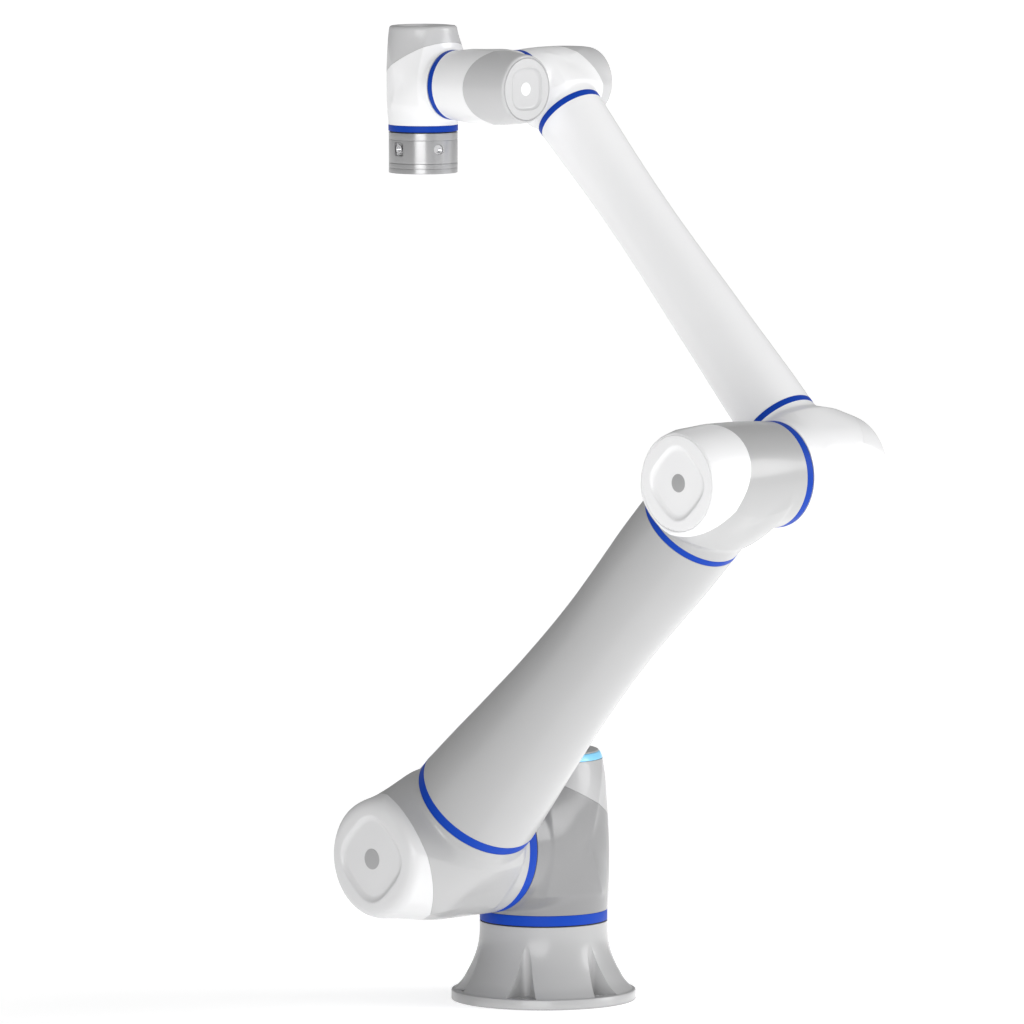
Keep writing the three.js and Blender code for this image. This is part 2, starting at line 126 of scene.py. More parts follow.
def smooth_table(points, step=0.5):
    """(positions, radii) along a monotone cubic through (radius, position) points."""
    r, x = (np.array(c, float) for c in zip(*points))
    slopes = np.diff(r) / np.diff(x)
    tangents = np.concatenate([[slopes[0]], (slopes[1:] + slopes[:-1]) / 2, [slopes[-1]]])
    flat = slopes[1:] * slopes[:-1] <= 0
    tangents[1:-1][flat] = 0
    at = np.append(np.arange(x[0], x[-1], step), x[-1])
    i = np.clip(np.searchsorted(x, at, side="right") - 1, 0, len(x) - 2)
    width = np.diff(x)[i]
    t = (at - x[i]) / width
    a, b = r[i], r[i + 1]
    ta, tb = tangents[i] * width, tangents[i + 1] * width
    radii = ((2 * a - 2 * b + ta + tb) * t + (3 * b - 3 * a - 2 * ta - tb)) * t * t + ta * t + a
    return at, radii


def soft_min(a, b, k):
    """The lesser of a and b, with the crease between them rounded over a width k."""
    k = np.maximum(k, 1e-6)
    overlap = np.maximum(k - np.abs(a - b), 0) / k
    return np.minimum(a, b) - overlap * overlap * k / 4


def soft_max(a, b, k):
    """The greater of a and b, rounded in the same way."""
    return -soft_min(-a, -b, k)


STUB_FADE = 0.3  # the blend dies out over this share of the stub's reach
BARREL_FADE = 30  # mm, and over this height above the barrel's ring end


def housing_field(shape):
    """The function whose zero surface is the housing's outside, of points' x, y and z in mm."""
    low = shape["barrel"][0][1]
    bh, br = smooth_table(shape["barrel"])
    sh, sr = smooth_table(shape["stub"])
    reach = shape["stub_end"]

    def field(x, y, z):
        rb = np.sqrt(x * x + y * y) + 1e-9
        rs = np.sqrt(y * y + z * z) + 1e-9
        barrel = rb - np.interp(z, bh, br)
        stub = np.maximum(rs - np.interp(x, sh, sr), -x)
        alike = np.clip(y * y / (rb * rs), 0, 1)
        fade = np.clip((reach - x) / (STUB_FADE * reach), 0, 1) * np.clip((z - low) / BARREL_FADE, 0, 1)
        k = shape["blend"] * np.sqrt(1 - alike * alike) * fade
        f = soft_min(barrel, stub, k)
        if "end" in shape:
            top, fall, roundness = shape["end"]
            face = z - (top - fall * (rb / shape["barrel"][-1][0]) ** 2)
            f = soft_max(f, face, roundness)
        return f

    return field


SETTLE_ROUNDS = 4
SETTLE_STEP = 3  # mm, the farthest a point moves in one round
LEAST_SLOPE = 0.05


def settle(points, field):
    """Moves points onto the field's zero surface along its gradient, measured over a small step h."""
    h = 0.05
    for _ in range(SETTLE_ROUNDS):
        x, y, z = points.T
        f = field(x, y, z)
        g = np.stack([
            field(x + h, y, z) - field(x - h, y, z),
            field(x, y + h, z) - field(x, y - h, z),
            field(x, y, z + h) - field(x, y, z - h),
        ], axis=1) / (2 * h)
        size = np.maximum((g * g).sum(1), LEAST_SLOPE)
        points = points - g * np.clip(f / size, -SETTLE_STEP, SETTLE_STEP)[:, None]
    return points


def field_mesh(field, low, high, voxel):
    """A closed quad mesh of the field's zero surface inside the box."""
    low, high = np.array(low, float), np.array(high, float)
    counts = np.ceil((high - low) / voxel).astype(int) + 1
    grids = np.meshgrid(*[low[i] + voxel * np.arange(counts[i]) for i in range(3)], indexing="ij")
    values = field(*grids)
    band = 3.0 * voxel
    outside = np.full(tuple(counts + 2), band)
    outside[1:-1, 1:-1, 1:-1] = np.clip(values, -band, band)
    grid = openvdb.FloatGrid(band)
    grid.copyFromArray(outside.astype(np.float32))
    points, quads = grid.convertToQuads(isovalue=0.0)
    points = points.astype(float) * voxel + low - voxel
    inner = ((points > low + voxel) & (points < high - voxel)).all(1)
    points[inner] = settle(points[inner], field)
    mesh = bpy.data.meshes.new("field")
    mesh.from_pydata(points.tolist(), [], quads[:, ::-1].tolist())
    return mesh


# ---- Turning meshes into pieces ------------------------------------------------------------------
def turned_mesh(outline, segments=160):
    """A closed solid of revolution about Z from a closed list of (radius, z) corners."""
    area = sum(a[0] * b[1] - b[0] * a[1] for a, b in zip(outline, outline[1:] + outline[:1]))
    if area < 0:
        outline = outline[::-1]
    rows, verts = [], []
    for r, z in outline:
        if r < 1e-6:
            rows.append([len(verts)] * segments)
            verts.append((0, 0, z))
            continue
        rows.append(list(range(len(verts), len(verts) + segments)))
        verts += [(r * math.cos(2 * math.pi * i / segments), r * math.sin(2 * math.pi * i / segments), z)
                  for i in range(segments)]
    faces = []
    for here, there in zip(rows, rows[1:] + rows[:1]):
        for i in range(segments):
            j = (i + 1) % segments
            face = list(dict.fromkeys((here[i], here[j], there[j], there[i])))
            if len(face) > 2:
                faces.append(face)
    mesh = bpy.data.meshes.new("turned")
    mesh.from_pydata(verts, [], faces)
    return mesh


def rod(radius, low, high, segments):
    """A plain closed cylinder about Z."""
    return turned_mesh([(0, low), (radius, low), (radius, high), (0, high)], segments)


def rounded(outline, radius, steps=4):
    """The closed outline with each corner cut by an arc of about that radius."""
    result = []
    for before, corner, after in zip(outline[-1:] + outline[:-1], outline, outline[1:] + outline[:1]):
        p, q, s = Vector(before), Vector(corner), Vector(after)
        into, out = (q - p), (s - q)
        if q.x < 1e-6 or into.length < 1e-6 or out.length < 1e-6 or into.angle(out) < math.radians(20):
            result.append(tuple(corner))
            continue
        reach = min(radius, into.length * 0.45, out.length * 0.45)
        a, b = q - into.normalized() * reach, q + out.normalized() * reach
        for i in range(steps + 1):
            t = i / steps
            point = a * (1 - t) ** 2 + q * 2 * t * (1 - t) + b * t ** 2
            result.append((point.x, point.y))
    return result


def clean(mesh):
    """Welds the mesh's doubled corners and turns all its faces outwards."""
    bm = bmesh.new()
    bm.from_mesh(mesh)
    bmesh.ops.remove_doubles(bm, verts=bm.verts, dist=1e-3)
    bmesh.ops.dissolve_degenerate(bm, edges=bm.edges, dist=1e-3)
    bmesh.ops.recalc_face_normals(bm, faces=bm.faces)
    bm.to_mesh(mesh)
    bm.free()


def kept_side(mesh, point, normal):
    """A copy of the mesh with what lies beyond the plane, on its normal's side, cut away."""
    bm = bmesh.new()
    bm.from_mesh(mesh)
    geometry = bm.verts[:] + bm.edges[:] + bm.faces[:]
    bmesh.ops.bisect_plane(bm, geom=geometry, dist=1e-4, plane_co=point, plane_no=normal, clear_outer=True)
    made = bpy.data.meshes.new("kept_side")
    bm.to_mesh(made)
    bm.free()
    return made


def with_modifier(mesh, kind, **values):
    """The mesh with one modifier applied."""
    holder = bpy.data.objects.new("holder", mesh)
    bpy.context.scene.collection.objects.link(holder)
    modifier = holder.modifiers.new(kind, kind)
    for key, value in values.items():
        setattr(modifier, key, value)
    bpy.context.view_layer.update()
    graph = bpy.context.evaluated_depsgraph_get()
    made = bpy.data.meshes.new_from_object(holder.evaluated_get(graph))
    bpy.data.objects.remove(holder)
    return made


def combined(mesh, other, operation):
    """The closed mesh joined with another closed mesh, or cut by it."""
    tool = bpy.data.objects.new("tool", other)
    bpy.context.scene.collection.objects.link(tool)
    mesh = with_modifier(mesh, "BOOLEAN", object=tool, operation=operation, solver="EXACT")
    bpy.data.objects.remove(tool)
    return mesh


def carved(mesh, *cutters):
    """The closed mesh less each closed cutter."""
    for cutter in cutters:
        clean(cutter)
        mesh = combined(mesh, cutter, "DIFFERENCE")
    return mesh


def piece(name, mesh, place, finish, body, slot, *nodes):
    """Puts a mesh made in millimetres into the frame as a named piece that stands for CAD nodes."""
    mesh.transform(place)
    mesh.name = name
    mesh.shade_smooth()
    mesh.set_sharp_from_angle(angle=SHARP_ANGLE)
    mesh.materials.clear()
    mesh.materials.append(finish)
    made = bpy.data.objects.new(name, mesh)
    bpy.context.scene.collection.objects.link(made)
    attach(made, body)
    if nodes:
        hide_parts(*nodes)
    return made


def turned_piece(name, outline, place, finish, body, slot, *nodes, radius=0.5, segments=160):
    """A piece turned about Z from an outline whose corners are rounded by the radius."""
    mesh = turned_mesh(rounded(outline, radius), segments)
    clean(mesh)
    return piece(name, mesh, place, finish, body, slot, *nodes)


# ---- Materials -----------------------------------------------------------------------------------
def node_material(name):
    """A new material, its nodes, its links and its main shader."""
    made = bpy.data.materials.new(name)
    made.use_nodes = True
    return made, made.node_tree.nodes, made.node_tree.links, made.node_tree.nodes["Principled BSDF"]


NOISE_RANGE = (0.3, 0.7)  # where nearly all values of the noise lie


def noise(nodes, links, scale, detail, stretch=None):
    """A noise texture over the piece's own coordinates, in metres."""
    place = nodes.new("ShaderNodeTexCoord")
    texture = nodes.new("ShaderNodeTexNoise")
    texture.inputs["Scale"].default_value = scale
    texture.inputs["Detail"].default_value = detail
    source = place.outputs["Object"]
    if stretch:
        mapping = nodes.new("ShaderNodeMapping")
        mapping.inputs["Scale"].default_value = stretch
        links.new(source, mapping.inputs["Vector"])
        source = mapping.outputs["Vector"]
    links.new(source, texture.inputs["Vector"])
    return texture.outputs["Fac"]


def ranged(nodes, links, source, low, high):
    """The noise, spread between a low and a high value."""
    ramp = nodes.new("ShaderNodeMapRange")
    ramp.inputs["From Min"].default_value, ramp.inputs["From Max"].default_value = NOISE_RANGE
    ramp.inputs["To Min"].default_value = low
    ramp.inputs["To Max"].default_value = high
    links.new(source, ramp.inputs["Value"])
    return ramp.outputs["Result"]


def shaded(nodes, links, source, colour, spread):
    """The colour, drifting by the given share between darker and lighter."""
    mix = nodes.new("ShaderNodeMix")
    mix.data_type = "RGBA"
    mix.inputs["A"].default_value = (*[c * (1 - spread) for c in colour], 1)
    mix.inputs["B"].default_value = (*[min(1, c * (1 + spread)) for c in colour], 1)
    links.new(source, mix.inputs["Factor"])
    return mix.outputs["Result"]


def bumped(nodes, links, shader, source, depth):
    """Raises the surface by the source, by a depth in metres."""
    bump = nodes.new("ShaderNodeBump")
    bump.inputs["Strength"].default_value = 1.0
    bump.inputs["Distance"].default_value = depth
    links.new(source, bump.inputs["Height"])
    links.new(bump.outputs["Normal"], shader.inputs["Normal"])


ORANGE_PEEL, MOULD_GRAIN, TURNING_MARK = 2.2e-6, 1.8e-6, 1.2e-6  # depths in metres


def painted(name, colour, roughness):
    """Sprayed and baked paint: slight drift in tone and gloss, and an orange-peel surface."""
    made, nodes, links, shader = node_material(name)
    drift = noise(nodes, links, 9.0, 3.0)
    links.new(shaded(nodes, links, drift, colour, 0.015), shader.inputs["Base Color"])
    gloss = noise(nodes, links, 60.0, 3.0)
    links.new(ranged(nodes, links, gloss, roughness - 0.02, roughness + 0.04), shader.inputs["Roughness"])
    shader.inputs["Coat Weight"].default_value = 0.3
    shader.inputs["Coat Roughness"].default_value = 0.12
    bumped(nodes, links, shader, noise(nodes, links, 420.0, 1.0), ORANGE_PEEL)
    return made


def moulded(name, colour, roughness, coat=0.0):
    """Injection-moulded plastic or rubber with a fine spark-eroded grain."""
    made, nodes, links, shader = node_material(name)
    drift = noise(nodes, links, 14.0, 2.0)
    links.new(shaded(nodes, links, drift, colour, 0.02), shader.inputs["Base Color"])
    gloss = noise(nodes, links, 90.0, 2.0)
    links.new(ranged(nodes, links, gloss, roughness - 0.02, roughness + 0.05), shader.inputs["Roughness"])
    shader.inputs["Coat Weight"].default_value = coat
    shader.inputs["Coat Roughness"].default_value = 0.1
    bumped(nodes, links, shader, noise(nodes, links, 1500.0, 2.0), MOULD_GRAIN)
    return made


def machined(name, colour, roughness, brushed=0.0):
    """Bare metal with fine turning marks round the Z axis, which can draw its highlights out along Z."""
    made, nodes, links, shader = node_material(name)
    shader.inputs["Metallic"].default_value = 1.0
    if brushed:
        round_z = nodes.new("ShaderNodeTangent")
        round_z.direction_type = "RADIAL"
        round_z.axis = "Z"
        links.new(round_z.outputs["Tangent"], shader.inputs["Tangent"])
        shader.inputs["Anisotropic"].default_value = brushed
        shader.inputs["Anisotropic Rotation"].default_value = 0.25
    marks = noise(nodes, links, 10.0, 4.0, stretch=(1, 1, 90))
    links.new(shaded(nodes, links, marks, colour, 0.06), shader.inputs["Base Color"])
    links.new(ranged(nodes, links, marks, roughness - 0.03, roughness + 0.05), shader.inputs["Roughness"])
    bumped(nodes, links, shader, marks, TURNING_MARK)
    return made


FINISHES = (  # maker, name, colour, roughness, then a plastic's coat or a metal's brushing
    (painted, "base_paint", (0.375, 0.375, 0.377), 0.36),
    # the turret's casting: the base's paint darkened, as painted shade under the upper arm
    (painted, "turret_paint", (0.215, 0.215, 0.218), 0.34),
    (painted, "arm_paint", (0.40, 0.40, 0.402), 0.34),
    (painted, "white_paint", (0.87, 0.87, 0.875), 0.32),
    (moulded, "cap_grey", (0.55, 0.55, 0.555), 0.33, 0.25),
    # the turret's cap and lid: cap_grey darkened, as painted shade under the upper arm
    (moulded, "turret_cap", (0.41, 0.41, 0.414), 0.33, 0.25),
    (moulded, "cap_white", (0.83, 0.83, 0.835), 0.32, 0.4),
    # the upper arm's lower cap: cap_white darkened, as painted shade on a face turned from the light
    (moulded, "shoulder_cap", (0.65, 0.65, 0.655), 0.32, 0.4),
    (moulded, "blue_ring", (0.001, 0.045, 0.38), 0.48),
    (moulded, "light_ring", (0.19, 0.48, 0.68), 0.33, 0.3),
    (moulded, "dark_plastic", (0.012, 0.012, 0.013), 0.5),
    (machined, "plated_metal", (0.66, 0.66, 0.67), 0.18),
    (machined, "machined_steel", (0.55, 0.55, 0.56), 0.32),
    (machined, "tool_steel", (0.50, 0.50, 0.505), 0.36, 0.95),
    (machined, "drive_aluminium", (0.66, 0.67, 0.68), 0.36),
    (moulded, "circuit_board", (0.02, 0.16, 0.08), 0.4),
    (moulded, "badge_grey", (0.36, 0.36, 0.365), 0.35),
)
FINISH = {name: make(name, *values) for make, name, *values in FINISHES}
BLUE = FINISH["blue_ring"].node_tree.nodes["Principled BSDF"]
BLUE.inputs["Specular IOR Level"].default_value = 0.16
LAMP = FINISH["light_ring"].node_tree.nodes["Principled BSDF"]
LAMP.inputs["Emission Color"].default_value = (0.15, 0.65, 1, 1)
LAMP.inputs["Emission Strength"].default_value = 0.25
NODE_SLOT = {s["node"]: s["material_slot"] for s in frame["record"]["subparts"]}
for node_name, node in frame["nodes"].items():
    node.data.materials.clear()
    node.data.materials.append(FINISH[NODE_SLOT[node_name]])


# ---- Housings ------------------------------------------------------------------------------------
def face_height(shape, r):
    """Height of the slightly crowned end face at a distance from the barrel's axis."""
    top, fall, _ = shape["end"]
    return top - fall * (r / shape["barrel"][-1][0]) ** 2


def dish_cutter(shape):
    """A shallow bowl with a squarish outline and a fine chamfered lip, standing up through the end face."""
    half_side, power, depth = shape["dish"]
    around, floor_rows, wall_rows = 192, 6, 12
    flat, lip_depth, lip_end = 0.84, 0.7, 1.03  # floor's share of the outline; the lip round it
    wall_bend, above = 2.3, 4.0
    levels = [(flat * i / floor_rows, -depth) for i in range(1, floor_rows + 1)]
    for i in range(1, wall_rows + 1):
        rise = (i / wall_rows) ** wall_bend
        levels.append((flat + (1 - flat) * i / wall_rows, -depth + (depth - lip_depth) * rise))
    levels += [(lip_end, 0.0), (lip_end + 0.02, above)]
    verts, faces = [(0, 0, face_height(shape, 0) - depth)], []
    for t, level in levels:
        for i in range(around):
            a = 2 * math.pi * i / around
            c, s = math.cos(a), math.sin(a)
            r = t * half_side / (abs(c) ** power + abs(s) ** power) ** (1 / power)
            verts.append((r * c, r * s, face_height(shape, r) + level))
    for i in range(around):
        j = (i + 1) % around
        faces.append((0, 1 + j, 1 + i))
        for row in range(len(levels) - 1):
            a = 1 + row * around
            faces.append((a + i, a + j, a + around + j, a + around + i))
    last = 1 + (len(levels) - 1) * around
    faces.append(tuple(range(last, last + around)))
    mesh = bpy.data.meshes.new("dish")
    mesh.from_pydata(verts, [], faces)
    return mesh


def rim_line_cutter(shape):
    """A fine V-shaped groove in the end face, just inside its rim."""
    depth, width, above = 2.0, 2.4, 3
    r = shape["rim_line"]
    z = face_height(shape, r)
    inner, outer = r - width / 2, r + width / 2
    return turned_mesh([(inner, z + above), (inner, z), (r, z - depth), (outer, z), (outer, z + above)], 240)


SIDE_ROOM, FOOT_ROOM, HEAD_ROOM = 12, 14, 8  # mm, left round a housing for working out its surface


def housing(shape, place, casting, cap, body):
    """Casting and cap, as shells, from one smooth shape cut along the slanted seam."""
    low = shape["barrel"][0][1]
    top = shape["barrel"][-1][1]
    field = housing_field(shape)
    wide = max(r for r, _ in shape["barrel"] + shape["stub"]) + SIDE_ROOM
    reach = shape["stub_end"] + 3 * shape["voxel"]
    corners = (-wide, -wide, low - FOOT_ROOM), (reach, wide, top + HEAD_ROOM)
    mesh = field_mesh(field, *corners, shape["voxel"])
    clean(mesh)
    if "dish" in shape:
        mesh = carved(mesh, dish_cutter(shape))
    if "rim_line" in shape:
        mesh = carved(mesh, rim_line_cutter(shape))
    if "ring_clearance" in shape:
        r = shape["ring_clearance"]
        below = low - 60
        mesh = carved(mesh, turned_mesh([(0, below), (r, below), (r, low), (0, low)]))
    else:
        mesh = kept_side(mesh, (0, 0, low), (0, 0, -1))
    mesh = kept_side(mesh, (shape["stub_end"], 0, 0), (1, 0, 0))
    if "end" not in shape:
        mesh = kept_side(mesh, (0, 0, top), (0, 0, 1))
    if "ring_clearance" in shape:
        mesh = opened_below(mesh, low)
    height, slope = shape["seam"]
    up = Vector((-slope, 0, 1)).normalized()
    middle = Vector((0, 0, height))
    for (node, finish, slot), side in ((casting, 1), (cap, -1)):
        shell = kept_side(mesh, middle - side * up * GAP / 2, side * up)
        shell = with_modifier(shell, "SOLIDIFY", thickness=shape["wall"], offset=-1, use_even_offset=False)
        piece(node + "_shell", shell, place, FINISH[finish], body, slot, node)


def opened_below(mesh, low):
    """The mesh without the flat disc that the ring's clearance cut left across its ring end."""
    widest = 99  # mm, from the axis to the disc's outermost face centre
    bm = bmesh.new()
    bm.from_mesh(mesh)
    disc = []
    for face in bm.faces:
        x, y, z = face.calc_center_median()
        if face.normal.z < -0.99 and abs(z - low) < 0.01 and math.hypot(x, y) < widest:
            disc.append(face)
    bmesh.ops.delete(bm, geom=disc, context="FACES")
    bm.to_mesh(mesh)
    bm.free()
    return mesh


HOUSINGS = (  # place, shape, body, node names' start, then finish and slot of casting and of cap
    # the turret's casting and cap take darkened copies of base_paint and cap_grey: painted shade
    ("turret", "turret", "shoulder", "shoulder",
     ("turret_paint", "base_paint"), ("turret_cap", "cap_grey")),
    # the upper arm's lower cap takes a darkened copy of cap_white: painted shade
    ("upper_base", "upper_base", "upper_arm", "upper_arm_base",
     ("arm_paint", "arm_paint"), ("shoulder_cap", "cap_white")),
    ("elbow", "elbow", "upper_arm", "elbow",
     ("arm_paint", "arm_paint"), ("cap_white", "cap_white")),
    ("forearm_base", "forearm_base", "forearm", "forearm_base",
     ("white_paint", "white_paint"), ("cap_white", "cap_white")),
    ("wrist_1", "wrist", "forearm", "wrist_1",
     ("white_paint", "white_paint"), ("cap_grey", "cap_grey")),
    ("wrist_2", "wrist", "wrist_2", "wrist_2",
     ("white_paint", "white_paint"), ("cap_grey", "cap_grey")),
    ("wrist_3", "wrist", "wrist_3", "wrist_3",
     ("white_paint", "white_paint"), ("cap_grey", "cap_grey")),
)
for place, shape_name, body, start, casting, cap in HOUSINGS:
    casting, cap = (start + "_housing", *casting), (start + "_cap", *cap)
    housing(SHAPES[shape_name], PLACE[place], casting, cap, body)

# ---- Rings, seals and tubes ----------------------------------------------------------------------
ALONG_X = Matrix.Rotation(math.radians(90), 4, "Y")
SEAL_GAP = 0.15  # mm, between a seal and the pieces it runs on
SEAL_INSET = 2.2  # mm, from the ring's outside in to the seal's
JOINT_RINGS = (  # node, place, body, inner and outer radius, upper end, width, groove beside it
    ("j1_ring", "turret", "shoulder", 86, 93.4, -103.5, 15, GROOVE),
    ("j2_ring", "upper_base", "upper_arm", 86, 98.7, -87.2, 15, GROOVE),
    ("j3_ring", "elbow", "upper_arm", 66, 75.9, -82.8, 12, GROOVE),
    ("j4_ring", "wrist_1", "forearm", 44, 50.5, -59.8, 9, WRIST_GROOVE),
    ("j5_ring", "wrist_2", "wrist_2", 44, 50.5, -59.8, 9, WRIST_GROOVE),
    ("j6_ring", "wrist_3", "wrist_3", 44, 50.5, -59.8, 9, WRIST_GROOVE),
)
for node, place, body, inner, outer, end, width, groove in JOINT_RINGS:
    start = end - width
    outline = [(inner, start), (outer, start), (outer, end), (inner, end)]
    turned_piece(node + "_band", outline, PLACE[place], FINISH["blue_ring"], body, "blue_ring", node,
                 radius=0.7)
    near, far = start - SEAL_GAP, start - groove + SEAL_GAP
    seal_inner, seal_outer = inner + 1, outer - SEAL_INSET
    seal = [(seal_inner, far), (seal_outer, far), (seal_outer, near), (seal_inner, near)]
    turned_piece(node.replace("ring", "seal"), seal, PLACE[place], FINISH["dark_plastic"], body,
                 "dark_plastic")

TUBE_RINGS = (  # node, place, body, inner and outer radius, start, width
    ("upper_arm_lower_ring", "upper_base", "upper_arm", 70, 94.5, 104.5, 14.5),
    ("upper_arm_upper_ring", "elbow", "upper_arm", 58, 76.4, 92, 10),
    ("forearm_lower_ring", "forearm_base", "forearm", 42, 55.5, 85.5, 9),
    ("forearm_upper_ring", "wrist_1", "forearm", 38, 50.6, 58.6, 9.4),
)
for node, place, body, inner, outer, start, width in TUBE_RINGS:
    outline = [(inner, start), (outer, start), (outer, start + width), (inner, start + width)]
    turned_piece(node + "_band", outline, PLACE[place] @ ALONG_X, FINISH["blue_ring"], body, "blue_ring",
                 node)


def tube(name, node, profile, wall, place, body, slot):
    """A tapered tube along the stub's axis, hollow, with a smooth waist."""
    at, radii = smooth_table(profile, step=6.0)
    outside = list(zip(radii, at))
    inside = [(r - wall, x) for r, x in reversed(outside)]
    mesh = turned_mesh(outside + inside, segments=192)
    clean(mesh)
    return piece(name, mesh, PLACE[place] @ ALONG_X, FINISH[slot], body, slot, node)


tube("upper_arm_tube_skin", "upper_arm_tube", [
    (94.3, 119.3), (92.3, 145), (88.6, 190), (83.9, 240), (79.7, 290), (75.6, 340), (72.9, 390), (71.1, 440),
    (70.5, 490), (71.6, 540), (73.5, 590), (75.6, 640), (76.3, 690), (76.4, UPPER_LENGTH - 102.3),
], 5, "upper_base", "upper_arm", "arm_paint")
tube("forearm_tube_skin", "forearm_tube", [
    (55.4, 94.8), (54.9, 140), (53, 205), (51.2, 260), (49.8, 315), (48.2, 365), (46.8, 415), (46, 460),
    (45.9, 500), (46.3, 540), (47.5, 590), (49.1, 635), (50.6, FOREARM_LENGTH - 68.3),
], 4, "forearm_base", "forearm", "white_paint")

# ---- Shoulder top --------------------------------------------------------------------------------
TURRET_TOP = SHAPES["turret"]["barrel"][-1][1]
LIGHT_TOP = TURRET_TOP + 10
LID_TOP = TURRET_TOP + 12.4
turned_piece("status_light_band", [(72, TURRET_TOP + GAP), (86, TURRET_TOP + GAP), (84.6, TURRET_TOP + 5),
                                   (82, LIGHT_TOP), (72, LIGHT_TOP)],
             PLACE["turret"], FINISH["light_ring"], "shoulder", "light_ring", "status_light_ring", radius=1.2)
# the lid takes the turret cap's darkened copy of cap_grey: painted shade
turned_piece("shoulder_lid_disc", [
    (0, TURRET_TOP + GAP), (71.7, TURRET_TOP + GAP), (71.7, LIGHT_TOP + GAP), (81, LIGHT_TOP + GAP),
    (79.6, LID_TOP), (67, LID_TOP), (63, LID_TOP - 2.5), (0, LID_TOP - 2.5)],
             PLACE["turret"], FINISH["turret_cap"], "shoulder", "cap_grey", "shoulder_lid", radius=1.0)


# ---- Badges in the dishes ------------------------------------------------------------------------
BADGES = (  # name, shape, place, body, radius, finish
    ("upper_arm_base_badge", "upper_base", "upper_base", "upper_arm", 15, "badge_grey"),
    ("elbow_badge", "elbow", "elbow", "upper_arm", 13, "badge_grey"),
    ("forearm_base_badge", "forearm_base", "forearm_base", "forearm", 13, "badge_grey"),
    ("wrist_1_badge", "wrist", "wrist_1", "forearm", 9.5, "white_paint"),
    ("wrist_2_badge", "wrist", "wrist_2", "wrist_2", 9.5, "white_paint"),
    ("wrist_3_badge", "wrist", "wrist_3", "wrist_3", 9.5, "white_paint"),
)
for name, shape_name, place, body, radius, finish in BADGES:
    shape = SHAPES[shape_name]
    floor = face_height(shape, 0) - shape["dish"][2]
    low, high = floor - 1.0, floor + 0.35  # let into the dish's floor, and standing a little proud of it
    outline = [(0, low), (radius, low), (radius, high), (0, high)]
    turned_piece(name, outline, PLACE[place], FINISH[finish], body, "cap_grey", radius=0.3, segments=72)

# ---- Base ----------------------------------------------------------------------------------------
# All in mm. The pedestal's profile is (radius, height); the panel sits on the side away from the arm.
BASE_TOP = 115.5
BASE_FLOOR = 12
BOLT_CIRCLE, BOLT_HOLE = 118, 6.75
FLANGE_RADIUS, FLANGE_HEIGHT = 135, 15
PEDESTAL = [(129.5, FLANGE_HEIGHT + 1), (120.2, 25.8), (111.4, 40.5), (104, 55.2), (98.5, 69.9), (95, 84.7),
            (93.6, 99.4), (93.5, BASE_TOP)]
POCKET_ROOT, POCKET_FILLET, POCKET_HALF_ANGLE = 94.5, 9.0, math.radians(27)
PANEL_FACE, PANEL_HALF, PANEL_LOW, PANEL_HIGH = 98, 25, 40, 92


def pocket_cutter():
    """A notch with flat flaring walls and a rounded root, open outwards and standing on the flange."""
    centre = POCKET_ROOT + POCKET_FILLET
    steps = 24
    outline = []
    for i in range(steps + 1):
        a = math.pi / 2 + POCKET_HALF_ANGLE + i / steps * (math.pi - 2 * POCKET_HALF_ANGLE)
        outline.append((centre + POCKET_FILLET * math.cos(a), POCKET_FILLET * math.sin(a)))
    mouth = 150  # mm from the axis, outside the flange
    spread = outline[0][1] + (mouth - outline[0][0]) * math.tan(POCKET_HALF_ANGLE)
    outline += [(mouth, -spread), (mouth, spread)]
    return prism(outline, FLANGE_HEIGHT - 0.1, BASE_TOP - 8)


def prism(outline, low, high):
    """A closed prism along Z over an outline of (x, y) corners."""
    n = len(outline)
    verts = [(x, y, z) for z in (low, high) for x, y in outline]
    faces = [tuple(range(n)), tuple(range(2 * n - 1, n - 1, -1))]
    faces += [(i, i + n, (i + 1) % n + n, (i + 1) % n) for i in range(n)]
    mesh = bpy.data.meshes.new("prism")
    mesh.from_pydata(verts, [], faces)
    return mesh


def block(low, high, bevel, profile=0.5):
    """A closed box between two corners, with its edges bevelled: rounded at a profile of 0.5."""
    size = [b - a for a, b in zip(low, high)]
    middle = Vector([(a + b) / 2 for a, b in zip(low, high)])
    bm = bmesh.new()
    bmesh.ops.create_cube(bm, size=1, matrix=Matrix.Translation(middle) @ Matrix.Diagonal((*size, 1)))
    bmesh.ops.bevel(bm, geom=bm.edges[:], offset=bevel, segments=3, profile=profile, affect="EDGES")
    mesh = bpy.data.meshes.new("block")
    bm.to_mesh(mesh)
    bm.free()
    return mesh


